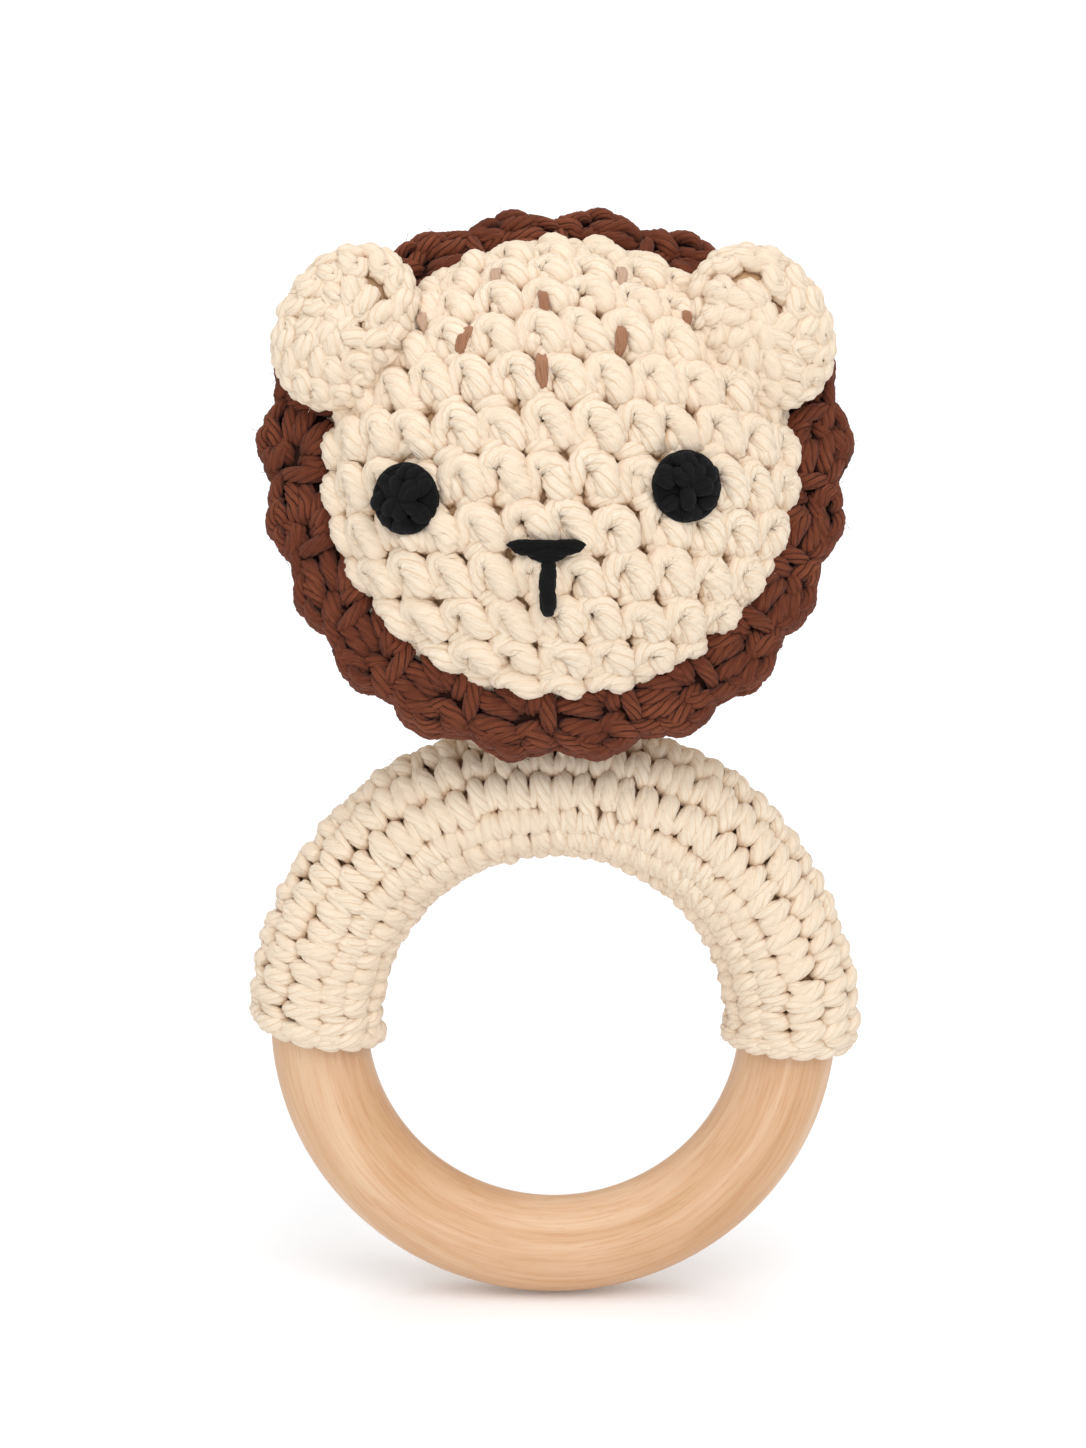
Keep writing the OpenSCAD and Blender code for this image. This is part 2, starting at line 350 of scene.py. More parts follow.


# each yarn's light and middle tones, its crease tone (painted shade in the creases) and its deep tone
# (painted shade low in the fabric)
CREAM = yarn_material("cream_yarn", ((248, 231, 209), (240, 218, 192), (214, 182, 146), (208, 166, 122)),
                      fibre=0.9, crease_shading=0.7)
BROWN = yarn_material("brown_yarn", ((136, 74, 50), (88, 42, 26), (30, 10, 4), (32, 10, 5)), (0.0, 2.3),
                      sheen=0.06, fibre=0.8, crease_shading=0.95)
MARK = yarn_material("mark_yarn", ((178, 128, 98), (150, 98, 72), (100, 60, 40), (176, 128, 98)), (-0.4, 0.6),
                     sheen=0.1, fibre=0.8, crease_shading=0.95)
PALE_MARK = yarn_material("pale_mark_yarn", ((212, 180, 156), (196, 158, 132), (160, 122, 98),
                                             (212, 180, 156)), (-0.4, 0.6), sheen=0.1, fibre=0.8, crease_shading=0.8)
BLACK = yarn_material("black_yarn", ((19, 19, 21), (9, 9, 11), (4, 4, 5), (5, 5, 6)), (0.4, 2.2),
                      sheen=0.03, fibre=0.9, crease_shading=0.9)
# the plain fabric under the stitches is its yarn's colour darkened, as painted shade in the gaps between the
# stitches
SHADED_UNDER_CREAM = plain_material("cream_under_shaded", srgb(214, 178, 138))
SHADED_SLEEVE_UNDER = plain_material("sleeve_under_shaded", srgb(172, 138, 104))
SHADED_UNDER_BROWN = plain_material("brown_under_shaded", srgb(46, 20, 12))
UNDER_BLACK = plain_material("black_under", srgb(10, 10, 11))
WOOD = wood_material()
FLUFF = plain_material("fibrefill", srgb(240, 240, 236))
SHELL = plain_material("capsule_plastic", srgb(232, 232, 226), 0.45)
BEAD = plain_material("bead_plastic", srgb(214, 60, 44), 0.25)


# ---------------------------------------------------------------- stitches on a surface

def lay(yarn, surface, cells, ctrl, radius, rings=13, jitter=0.05, flat=0.9, profile=None, lift=0.0):
    """Lays one strand per cell. cells (M, 2) hold each stitch's row and column, ctrl (K, 3) its path as
    (across the column, down the row, height). surface turns (row, column, height, the cell's own row)
    into a point and a normal."""
    m = len(cells)
    c = np.broadcast_to(np.array(ctrl, float), (m, len(ctrl), 3)).copy()
    c[..., 0] += rng.normal(0, jitter, (m, 1)) + rng.normal(0, jitter * 0.6, c.shape[:2])
    c[..., 1] += rng.normal(0, jitter, (m, 1)) + rng.normal(0, jitter * 0.5, c.shape[:2])
    c[..., 2] += rng.normal(0, 0.10, (m, 1))
    p = spline(c, rings)
    col = cells[:, 1, None] + p[..., 0]
    row = cells[:, 0, None] + p[..., 1]
    pts, nrm = surface(row, col, p[..., 2], cells[:, 0, None])
    prof = plump(rings) if profile is None else profile
    rad = radius * prof[None, :] * rng.uniform(0.93, 1.07, (m, 1))
    # lift adds to the height that the material reads, so a higher lift gives less painted shade low in the
    # fabric
    yarn.add(pts, nrm, rad, flat, lift=p[..., 2] + lift)


# ---------------------------------------------------------------- head

HEAD_ROWS = 22
WIDEST_ROW = 36          # stitches in the head's widest round
SKIN_DEPTH = 1.55        # the stitches' middle lies this far under the head's outside
MANE_AT = np.array([-0.6, -6.0, 0.5])
MANE_LEAN = rot_x(math.radians(-9))
EYES_AT = {"left": (-18.3, -1.8), "right": (14.8, -0.4)}


def row_stitches(row):
    lat = math.pi / 2 - (np.floor(row) + 0.5) / HEAD_ROWS * math.pi
    return np.maximum(np.round(WIDEST_ROW * np.cos(lat)), 5)


def row_tilt(lat):
    """How far a round's plane tilts at a latitude: the rounds rise towards the middle of the forehead."""
    return np.radians(-5 + 23 * smooth((lat + math.radians(50)) / math.radians(95)))


def disc_surface(d, a, b, n):
    """Point and normal of the rounded disc (axis Y) in the direction of the ellipsoid point d."""
    rho = np.hypot(d[..., 0], d[..., 2])
    y = np.abs(d[..., 1])
    scale = ((rho / a) ** n + (y / b) ** n) ** (-1 / n)
    p = d * scale[..., None]
    rho, y = rho * scale, y * scale
    g = (rho / a) ** (n - 1) / a / np.maximum(rho, 1e-6)
    nrm = np.stack([p[..., 0] * g, np.sign(p[..., 1]) * (y / b) ** (n - 1) / b, p[..., 2] * g], axis=-1)
    return p, unit(nrm)


def head_surface(row, col, h, row0):
    """Rows run down from the crown to the neck, and columns round the head. Each round starts a little
    further round than the one above."""
    lat = np.clip(math.pi / 2 - row / HEAD_ROWS * math.pi, -1.565, 1.565)
    phi = col * 2 * math.pi / row_stitches(row0) + 0.37 * row0
    tau = row_tilt(lat)
    d = np.stack([np.cos(lat) * np.sin(phi), -np.cos(lat) * np.cos(phi), np.sin(lat)], axis=-1)
    y = d[..., 1] * np.cos(tau) + d[..., 2] * np.sin(tau)
    z = -d[..., 1] * np.sin(tau) + d[..., 2] * np.cos(tau)
    d = np.stack([d[..., 0] * HEAD_R, y * HEAD_B, z * HEAD_R], axis=-1)
    p, nrm = disc_surface(d, HEAD_R, HEAD_B, HEAD_N)
    # the fabric is drawn in under the mane and under each eye
    off_mane = np.abs(((p - MANE_AT) @ MANE_LEAN)[..., 1])
    dip = 1.7 * smooth((6.6 - off_mane) / 2.6)
    for x, z in EYES_AT.values():
        dip = dip + 1.0 * smooth((4.8 - np.hypot(p[..., 0] - x, p[..., 2] - z)) / 1.3) * (p[..., 1] < 0)
    p = p + nrm * (h - SKIN_DEPTH - dip)[..., None]
    return from_head(p), nrm @ LEAN.T


# an upside-down V: up from the foot of the thin left leg, over the top, and down the fat right leg
ARCH = [(0.08, 1.04, -1.0), (0.07, 0.84, 0.1), (0.07, 0.56, 0.5), (0.14, 0.30, 0.7), (0.36, 0.18, 0.85),
        (0.59, 0.29, 1.0), (0.73, 0.55, 1.0), (0.80, 0.84, 0.6), (0.84, 1.06, -0.9)]
# the tip of the stitch below, which fills the V
TIP = [(0.39, 0.44, -0.7), (0.40, 0.60, 0.25), (0.43, 0.84, 0.35), (0.46, 1.10, -0.8)]
LOOP = [(-0.16, 0.08, -0.9), (0.0, 0.02, 0.15), (0.27, -0.03, 0.5), (0.54, -0.01, 0.15), (0.70, 0.07, -0.9)]


def arch_profile(n):
    """Radius along an arch: its right leg is the fatter one."""
    return np.interp(np.linspace(0, 1, n), [0, 0.1, 0.35, 0.5, 0.7, 0.88, 1],
                     [0.6, 0.84, 0.9, 0.96, 1.16, 1.08, 0.6])


def stitches(yarn, surface, cells, size, lift=0.0, jitter=0.055):
    """One crochet stitch per cell, of three strands."""
    for path, radius, profile in ((ARCH, 1.6, arch_profile(18)), (TIP, 1.3, plump(8, 0.7, 1.0, 0.5, 0.6)),
                                  (LOOP, 1.32, plump(9, 0.7, 1.0, 0.5, 0.6))):
        lay(yarn, surface, cells, path, radius * size, rings=len(profile), profile=profile, jitter=jitter,
            lift=lift)


def head_rows(name, first, last):
    yarn = Yarn()
    cells = np.array([(r, c) for r in range(first, last) for c in range(int(row_stitches(r)))], float)
    stitches(yarn, head_surface, cells, 1.0)
    return yarn.make(name, CREAM)


def rounded_disc_mesh(name, a, b, n, place, steps=48, around=72):
    """The rounded disc of disc_surface as a closed form, brought to its place by the function place."""
    t = np.linspace(0.02, math.pi - 0.02, steps)
    u = np.linspace(0, 2 * math.pi, around, endpoint=False)
    tt, uu = np.meshgrid(t, u, indexing="ij")
    rho = a * np.sin(tt) ** (2 / n)
    y = -b * np.sign(np.cos(tt)) * np.abs(np.cos(tt)) ** (2 / n)
    v = place(np.stack([rho * np.cos(uu), y, rho * np.sin(uu)], axis=-1).reshape(-1, 3))
    return mesh_object(name, v, grid_faces(steps, around))


# in five pieces, so that each stays under 200,000 triangles
head_parts = [head_rows("head_rounds_" + name, a, b) for name, a, b in (
    ("top", 0, 7), ("upper", 7, 10), ("middle", 10, 12), ("lower", 12, 15), ("bottom", 15, HEAD_ROWS))]
head_ball = rounded_disc_mesh("head_fabric", HEAD_R - 1.9, HEAD_B - 1.9, HEAD_N, from_head)
head_ball.data.materials.append(SHADED_UNDER_CREAM)

# ---------------------------------------------------------------- sleeve

SLEEVE_ROWS = 10
ROW_TURN = math.radians(34)
SLEEVE_COLS = 38
ARC0 = math.radians(-SLEEVE_RIGHT)
ARC1 = math.radians(180 + SLEEVE_LEFT)
LEFT_SLACK = 0.05        # the left end hangs lower on its inner side, in radians


def tube(a, beta, r):
    """Point and normal at angle a round the ring and beta round its section, where 0 is the front,
    and at r from the ring's centreline."""
    a, beta, r = np.broadcast_arrays(a, beta, r)
    rho = RING_R + r * np.sin(beta)
    p = np.stack([rho * np.cos(a), -r * np.cos(beta), rho * np.sin(a)], axis=-1)
    nrm = np.stack([np.sin(beta) * np.cos(a), -np.cos(beta), np.sin(beta) * np.sin(a)], axis=-1)
    return p, nrm


def sleeve_surface(row, col, h, row0):
    """Rows run round the sleeve's section from the front outwards, and columns along it from the right."""
    beta = math.radians(-4) + row * ROW_TURN
    a = ARC0 + (ARC1 - ARC0 - LEFT_SLACK * np.sin(beta)) * col / SLEEVE_COLS
    # it is pulled outwards a little on both sides of the neck
    pull = 0.9 * np.exp(-((a - 1.0) / 0.3) ** 2) + 0.5 * np.exp(-((a - 2.15) / 0.3) ** 2)
    r = SLEEVE_R - 1.05 + h + pull * np.clip(np.sin(beta), 0, 1) - 0.95 * np.clip(-np.sin(beta), 0, 1)
    return tube(a, beta, r)


def sleeve_rows(name, rows):
    yarn = Yarn()
    cells = np.array([(r, c) for r in rows for c in range(SLEEVE_COLS)], float)
    # pairs of legs lie across the tube and meet at a hole on each row's inner line
    up = [(0.42, 0.07, -1.2), (0.32, 0.24, 0.1), (0.19, 0.54, 0.4), (0.09, 0.86, 0.25), (0.04, 1.12, -0.9)]
    down = [(0.50, 0.07, -1.2), (0.61, 0.22, 0.15), (0.77, 0.52, 0.5), (0.90, 0.86, 0.35), (0.97, 1.14, -0.9)]
    prof = plump(13, 0.6, 1.0, 0.55, 0.6)
    lay(yarn, sleeve_surface, cells, up, 1.08, profile=prof, jitter=0.06, lift=0.35)
    lay(yarn, sleeve_surface, cells, down, 1.2, profile=prof, jitter=0.07, lift=0.35)
    return yarn.make(name, CREAM)


sleeve_outer = sleeve_rows("sleeve_rows_outer", range(SLEEVE_ROWS // 2))
sleeve_inner = sleeve_rows("sleeve_rows_inner", range(SLEEVE_ROWS // 2, SLEEVE_ROWS))
# where the last round meets the first, each stitch is a V across the join
join = Yarn()
for way in (-1, 1):
    lay(join, sleeve_surface, np.array([(0, c) for c in range(SLEEVE_COLS)], float),
        [(0.5 + way * 0.43, -0.84, -1.1), (0.5 + way * 0.36, -0.60, 0.0), (0.5 + way * 0.24, -0.32, 0.3),
         (0.5 + way * 0.14, -0.02, 0.05), (0.5 + way * 0.06, 0.24, -1.1)],
        1.05, rings=11, jitter=0.05, profile=plump(11, 0.7, 1.0, 0.5, 0.5), lift=0.35)
join = join.make("sleeve_join", CREAM)


def ring_grid(a0, a1, steps, around, closed):
    """Angles round the ring and round its section, as two grids."""
    return np.meshgrid(np.linspace(a0, a1, steps, endpoint=not closed),
                       np.linspace(0, 2 * math.pi, around, endpoint=False), indexing="ij")


def torus_mesh(name, r, grid, closed):
    v = tube(*grid, r)[0].reshape(-1, 3)
    return mesh_object(name, v, grid_faces(*grid[0].shape, closed)[:, ::-1])


sleeve_core = torus_mesh("sleeve_fabric", SLEEVE_R - 1.7,
                         ring_grid(ARC0 + 0.03, ARC1 - 0.03, 80, 40, False), False)
sleeve_core.data.materials.append(SHADED_SLEEVE_UNDER)


def hem(yarn, at, way):
    """A chain of V links round the sleeve's end at angle at. way is 1 where the end faces larger angles."""
    links = 15
    step = 2 * math.pi / links
    n = 11
    for shift, side in ((0.0, 0.55), (0.45, -0.55)):
        k = np.arange(links)[:, None]
        t = np.linspace(0, 1, n)[None, :]
        beta = (k + shift + t * 1.25) * step
        r = SLEEVE_R - 1.5 + 0.5 * np.sin(t * math.pi)
        off = side * (1.1 * (0.5 - t) + 0.45)
        a = at + way * (off + 0.1) / RING_R - (LEFT_SLACK * np.sin(beta) if way > 0 else 0)
        p, nrm = tube(a, beta, r)
        yarn.add(p, nrm, 0.98 * plump(n, 0.55, 1.0, 0.5), 0.95)


hems = Yarn()
hem(hems, ARC0, -1)
hem(hems, ARC1, 1)
hems = hems.make("sleeve_hems", CREAM)

# seam stitches along the inner side
SEAM_STITCHES = 26


def seam_surface(row, col, h, row0):
    a = ARC0 + (ARC1 - ARC0) * (col + 0.5) / SEAM_STITCHES
    return tube(a, math.radians(-90) + row, SLEEVE_R - 1.6 + h)


seam = Yarn()
cells = np.array([(0, c) for c in range(SEAM_STITCHES)], float)
lay(seam, seam_surface, cells, [(-0.2, -0.28, -0.6), (-0.1, -0.15, 0.5), (0.1, 0.15, 0.5), (0.2, 0.28, -0.6)],
    0.7, rings=11, jitter=0.03)
seam = seam.make("sleeve_seam", CREAM)

# ---------------------------------------------------------------- wooden ring

ring_angles = ring_grid(0, 2 * math.pi, 256, 72, True)
ring = torus_mesh("beech_ring", SECTION_R, ring_angles, True)
ring.data.materials.append(WOOD)
# the place along the grain is mirrored on both sides of the ring, so that it has no seam
along, round_it = ring_angles
grain = np.stack([(math.pi + np.abs(along - math.pi)) * RING_R, SECTION_R * np.sin(round_it),
                  -SECTION_R * np.cos(round_it)], axis=-1)
layer = ring.data.attributes.new("grain", "FLOAT_VECTOR", "POINT")
layer.data.foreach_set("vector", grain.astype(np.float32).ravel())

# ---------------------------------------------------------------- mane

MANE_W, MANE_H = 32.4, 29.6
SHELLS = 20


def mane_width(s):
    """How much wider the mane is than an ellipse, at the height whose sine is s."""
    return np.interp(s, [-1, -0.85, -0.5, -0.1, 0.3, 0.6, 1], [1, 0.99, 0.945, 0.96, 1.01, 1.04, 1.03])


def mane_place(ang, q, y):
    """Point at angle ang round the mane, q outside its ellipse and y behind its plane, in the row frame,
    and the outward direction in that plane."""
    c, s = np.cos(ang), np.sin(ang)
    out = unit(np.stack([c / MANE_W, s / MANE_H], axis=-1))
    nx, nz = out[..., 0], out[..., 1]
    p = np.stack([(MANE_W * c + q * nx) * mane_width(s), y, MANE_H * s + q * nz], axis=-1)
    return from_head(p @ MANE_LEAN.T + MANE_AT), nx, nz


def mane_surface(side):
    """Shell coordinates: column is the shell, row runs from the rim inwards, height stands off the frill."""
    def surface(row, col, h, row0):
        ang = math.radians(-90) + (col + 0.5) * 2 * math.pi / SHELLS
        q = (3.3 if side > 0 else 2.2) - row * 8.0
        p, nx, nz = mane_place(ang, q, -side * (1.3 + h))
        nrm = np.stack([0.35 * nx * q / 4, np.full_like(q, -side * 1.0), 0.35 * nz * q / 4], axis=-1)
        return p, unit(nrm) @ MANE_LEAN.T @ LEAN.T
    return surface


def mane_side(name, side):
    """The shells of one side of the mane: side is 1 for the front and -1 for the back."""
    yarn = Yarn(groove=0.24, twist=9.0)
    cells = np.array([(0, c) for c in range(SHELLS)], float)
    surf = mane_surface(side)

    def strands(ctrl, radius, **options):
        lay(yarn, surf, cells, [(side * x, r, h) for x, r, h in ctrl], radius, **options)

    # thick strands run from a hole near the rim to the shell's left, its crown and its right
    prof = plump(13, 0.62, 1.0, 0.55, 0.6)
    for x, r, hx, hr, lift in ((-0.47, 0.34, 0.10, 0.26, 1.7), (-0.47, 0.62, 0.10, 0.44, 2.2),
                               (-0.34, 0.95, 0.12, 0.52, 2.6), (-0.04, 1.06, 0.16, 0.52, 2.7),
                               (0.27, 1.0, 0.22, 0.48, 2.4), (0.40, 0.10, 0.10, 0.36, 1.6)):
        ctrl = [(hx, hr, 0.0)]
        ctrl += [(hx * (1 - f) + x * f, hr * (1 - f) + r * f, lift * g)
                 for f, g in ((0.28, 0.9), (0.6, 1), (0.9, 0.75))]
        strands(ctrl + [(x * 1.02, r, -0.4)], 1.26, rings=13, jitter=0.03, profile=prof, lift=0.4)
    strands([(-0.14, 0.16, -0.2), (0.04, 0.26, 1.1), (0.22, 0.36, 1.3), (0.38, 0.44, 0.2)], 1.15,
            rings=11, jitter=0.03, lift=0.4)
    strands([(-0.40, 0.12, -0.4), (-0.24, 0.08, 1.1), (-0.02, 0.13, 1.5), (0.20, 0.16, 0.3)], 1.1,
            rings=12, jitter=0.025)
    strands([(0.40, 0.14, -0.2), (0.45, 0.30, 1.7), (0.44, 0.58, 2.6), (0.41, 0.92, 1.8), (0.40, 1.08, -0.2)],
            1.15, rings=13, jitter=0.025)
    return yarn.make(name, BROWN)


mane_front = mane_side("mane_shells_front", 1)
mane_back = mane_side("mane_shells_back", -1)


def mane_rim(name):
    """Four chains of links side by side round the mane's edge."""
    yarn = Yarn(groove=0.24, twist=9.0)
    links = 64
    cells = np.array([(0, c) for c in range(links)], float)

    def surface_at(y):
        def surface(row, col, h, row0):
            ang = col * 2 * math.pi / links
            swell = 0.8 * np.cos(SHELLS * (ang + math.pi / 2) - math.pi)
            q = 2.5 + swell + h
            p, nx, nz = mane_place(ang, q, y + row)
            return p, np.stack([nx, 0 * q, nz], axis=-1) @ MANE_LEAN.T @ LEAN.T
        return surface

    for y, flip in ((-2.3, 1), (-0.75, -1), (0.8, 1), (2.3, -1)):
        ctrl = [(-0.25, -0.6 * flip, -0.8), (0.05, -0.45 * flip, 0.2), (0.5, 0, 0.45),
                (0.95, 0.45 * flip, 0.2), (1.2, 0.6 * flip, -0.8)]
        lay(yarn, surface_at(y), cells, ctrl, 1.05, rings=11, jitter=0.05, lift=1.6)
    return yarn.make(name, BROWN)


mane_edge = mane_rim("mane_rim_chain")


def mane_core(name):
    """The plain fabric form that the mane's strands lie on."""
    steps, around = 120, 28
    aa, bb = ring_grid(0, 2 * math.pi, steps, around, True)
    q, w = 3.3 * np.cos(bb) - 1.5, 2.7 * np.sin(bb)
    p = np.stack([(MANE_W + q) * np.cos(aa) * mane_width(np.sin(aa)), -w, (MANE_H + q) * np.sin(aa)], axis=-1)
    v = from_head(p.reshape(-1, 3) @ MANE_LEAN.T + MANE_AT)
    o = mesh_object(name, v, grid_faces(steps, around, True))
    o.data.materials.append(SHADED_UNDER_BROWN)
    return o


mane_inner = mane_core("mane_fabric")

# ---------------------------------------------------------------- ears

# an ear's radius, half depth, squareness, and its place from front to back in the head frame
EAR_R, EAR_B, EAR_N, EAR_Y = 7.7, 3.8, 2.3, -13.0
EAR_TALL = 1.3           # how much taller than wide it is
EAR_TILT = 32            # degrees that it is turned to its own side
EAR_ROUNDS = (6, 11, 15, 17, 17, 15, 11, 6)     # stitches in each round, from its front to its back
# across, up, turn in degrees
EARS = {"left": (-25.8, 19.1, -10.0), "right": (24.1, 19.1, 10.0)}


def ear_place(at):
    """Two functions that bring an ear's points and normals to the row frame."""
    foot = -1 if at[0] > 0 else 1
    turn = rot_z(math.radians(at[2])) @ rot_y(math.radians(foot * EAR_TILT))
    tall = np.array([1, 1, EAR_TALL])
    centre = np.array([at[0], EAR_Y, at[1]])
    return lambda p: from_head((p * tall) @ turn.T + centre), lambda n: n @ turn.T @ LEAN.T


def ear(name, at):
    place, turn = ear_place(at)
    rounds = len(EAR_ROUNDS)

    def surface(row, col, h, row0):
        counts = np.array(EAR_ROUNDS)[np.clip(row0.astype(int), 0, rounds - 1)]
        # the rounds run in a spiral
        t = np.clip((row + 0.7 * (col / counts - 0.5)) / rounds * math.pi, 0.03, math.pi - 0.03)
        phi = col * 2 * math.pi / counts + row0 * 0.9
        # the rows are spread evenly over the disc's faces and its edge
        rho = EAR_R * np.sin(t) ** 1.2
        y = -EAR_B * np.cos(t)
        d = np.stack([rho * np.cos(phi), y, rho * np.sin(phi)], axis=-1)
        p, nrm = disc_surface(d, EAR_R, EAR_B, EAR_N)
        return place(p + nrm * (h * 0.7 - 0.95)[..., None]), turn(nrm)

    yarn = Yarn()
    cells = np.array([(r, c) for r in range(rounds) for c in range(EAR_ROUNDS[r])], float)
    stitches(yarn, surface, cells, 0.73, lift=0.1, jitter=0.06)
    skin = yarn.make("ear_%s_rounds" % name, CREAM)
    core = rounded_disc_mesh("ear_%s_fabric" % name, EAR_R - 1.4, EAR_B - 1.2, EAR_N, place, 24, 40)
    core.data.materials.append(SHADED_UNDER_CREAM)
    return skin, core


ears = {k: ear(k, v) for k, v in EARS.items()}


def ear_seam(name, at):
    """Five short stitches from the ear's foot to the head."""
    foot = -1 if at[0] > 0 else 1
    turn = rot_z(math.radians(at[2])) @ rot_y(math.radians(foot * 36))
    centre = np.array([at[0], EAR_Y, at[1]])
    yarn = Yarn()
    paths, normals = [], []
    n = 12
    for i in range(5):
        k = (i - 2) * 2.5
        c = np.array([[foot * x, y + k * k / 34, k + z] for x, y, z in (
            (3.8, -1.2, 0.3), (4.8, -2.5, 0.2), (6.2, -3.1, -0.2), (7.2, -2.4, -0.3))])
        c += rng.normal(0, 0.12, c.shape)
        p = spline(c, n) @ turn.T + centre
        paths.append(from_head(p))
        normals.append(np.broadcast_to(np.array([0, -1.0, 0]) @ LEAN.T, (n, 3)))
    yarn.add(np.array(paths), np.array(normals), 0.7 * plump(n, 0.55, 1.0, 0.5))
    return yarn.make("ear_%s_seam" % name, CREAM)


ear_seams = {k: ear_seam(k, v) for k, v in EARS.items()}

# ---------------------------------------------------------------- face

def face_frame(x, z):
    """Point on the head's front (head frame) and its right, up and outward directions."""
    r = math.hypot(x, z)
    y = -HEAD_B * (1 - (r / HEAD_R) ** HEAD_N) ** (1 / HEAD_N)
    _, nrm = disc_surface(np.array([x, y, z]), HEAD_R, HEAD_B, HEAD_N)
    up = unit(np.array([0, 0, 1.0]) - nrm[2] * nrm)
    right = np.cross(nrm, up) * -1
    return np.array([x, y, z]), right, up, nrm


def face_strands(yarn, strands, profile, n=12, lift=0.55):
    """Lays strands on the face. Each is a list of (x, z, height) in the head frame; profile is its radius."""
    for s in strands:
        c = spline(np.array(s, float), n)
        pts, nrms = [], []
        for x, z, h in c:
            p, _, _, nrm = face_frame(x, z)
            pts.append(p + nrm * (h + lift))
            nrms.append(nrm)
        yarn.add(from_head(np.array(pts))[None], (np.array(nrms) @ LEAN.T)[None],
                 profile, lift=c[None, :, 2])


def eye(name, x, z):
    """An inner and an outer round of spokes, a cord round the edge, and a plain disc behind them."""
    p0, right, up, nrm = face_frame(x, z)
    yarn = Yarn(plies=4, groove=0.15)
    n = 12
    # spokes, inner and outer radius, height at each, yarn radius
    rounds = ((7, -0.6, 3.1, 1.6, 1.5, 1.05), (12, 2.0, 4.05, 1.45, 0.1, 0.98))
    for ring_i, (spokes, r0, r1, h0, h1, rad) in enumerate(rounds):
        paths, normals = [], []
        for k in range(spokes):
            a = 2 * math.pi * (k + 0.5 * ring_i) / spokes + rng.normal(0, 0.2)
            t = np.linspace(0, 1, n)
            r = r0 + (r1 - r0) * t
            aa = a + rng.uniform(-0.7, 0.9) * t
            h = (rng.normal(0, 0.14) + h0 + (h1 - h0) * t ** 1.5 + 0.25 * np.sin(t * math.pi)
                 - 0.9 * (1 - t) ** 4)
            across = np.cos(aa)[:, None] * right + np.sin(aa)[:, None] * up * 0.98
            q = p0 + r[:, None] * across + h[:, None] * nrm
            paths.append(from_head(q))
            normals.append(np.broadcast_to(nrm @ LEAN.T, (n, 3)))
        yarn.add(np.array(paths), np.array(normals), rad * plump(n, 0.45, 1.0, 0.6))
    disc = yarn.make("eye_%s_spokes" % name, BLACK)
    cord = Yarn(plies=4, groove=0.15)
    t = np.linspace(0, 2 * math.pi, 90)
    q = p0 + 3.75 * (np.cos(t)[:, None] * right + np.sin(t)[:, None] * up) + 0.35 * nrm
    cord.add(from_head(q)[None], np.broadcast_to(nrm @ LEAN.T, (1, 90, 3)), np.full(90, 0.62), ends=False)
    edge = cord.make("eye_%s_edge" % name, BLACK)
    steps = 32
    a = np.linspace(0, 2 * math.pi, steps, endpoint=False)
    v = [p0 + nrm * 1.2]
    v += [p0 + 3.6 * (math.cos(x) * right + math.sin(x) * up) + nrm * 0.9 for x in a]
    v += [p0 + 3.9 * (math.cos(x) * right + math.sin(x) * up) - nrm * 0.9 for x in a]
    f = [(0, 1 + i, 1 + (i + 1) % steps) for i in range(steps)]
    f += [(1 + i, 1 + steps + i, 1 + steps + (i + 1) % steps) for i in range(steps)]
    f += [(1 + i, 1 + steps + (i + 1) % steps, 1 + (i + 1) % steps) for i in range(steps)]
    back = mesh_object("eye_%s_back" % name, from_head(np.array(v)), np.array(f))
    back.data.materials.append(UNDER_BLACK)
    return disc, edge, back


eyes = {k: eye(k, *at) for k, at in EYES_AT.items()}

NOSE_AT = (-1.6, -8.0)
# the bar's three strands, as (x, z, height) from its middle
BAR = (((-4.9, 0.6, -0.5), (-2.6, 0.75, 0.45), (0, 0.65, 0.6), (2.6, 0.75, 0.45), (4.9, 0.7, -0.5)),
       ((-4.3, 0.15, -0.5), (-2.2, -0.05, 0.5), (0, -0.15, 0.7), (2.2, 0, 0.5), (4.4, 0.3, -0.5)),
       ((-2.4, -0.3, -0.5), (-1.1, -0.65, 0.4), (0, -0.8, 0.6), (1.1, -0.65, 0.4), (2.5, -0.2, -0.5)))
nose = Yarn(plies=4, groove=0.15)
face_strands(nose, [[(NOSE_AT[0] + x, NOSE_AT[1] + z, h) for x, z, h in strand] for strand in BAR],
             profile=0.7 * plump(12, 0.7, 1.0, 0.5, 0.5))
nose = nose.make("nose_satin", BLACK)

mouth = Yarn(plies=4, groove=0.15)
face_strands(mouth, [[(-1.5, -8.8, 0.1), (-1.4, -10.1, 0.6), (-1.55, -11.8, 0.7), (-1.45, -14.0, 0.7),
                      (-1.5, -15.8, -0.5)]], profile=1.1 * plump(12, 0.8, 1.0, 0.6))
mouth = mouth.make("mouth_strand", BLACK)

# across, up, slant, width, height
MARKS = ((-2.0, 21.9, -0.1, 1.0, 3.9), (15.0, 20.1, 0.05, 0.8, 3.2), (-11.4, 17.4, 0.35, 1.5, 4.4),
         (7.2, 17.3, 0.1, 1.5, 4.4), (-2.2, 13.5, 0.0, 1.6, 4.9))
PALE_MARKS = ((-7.7, 25.2, 0.0, 1.1, 2.8), (7.3, 25.3, 0.0, 1.1, 3.0), (-16.4, 20.0, 0.1, 0.8, 2.8))


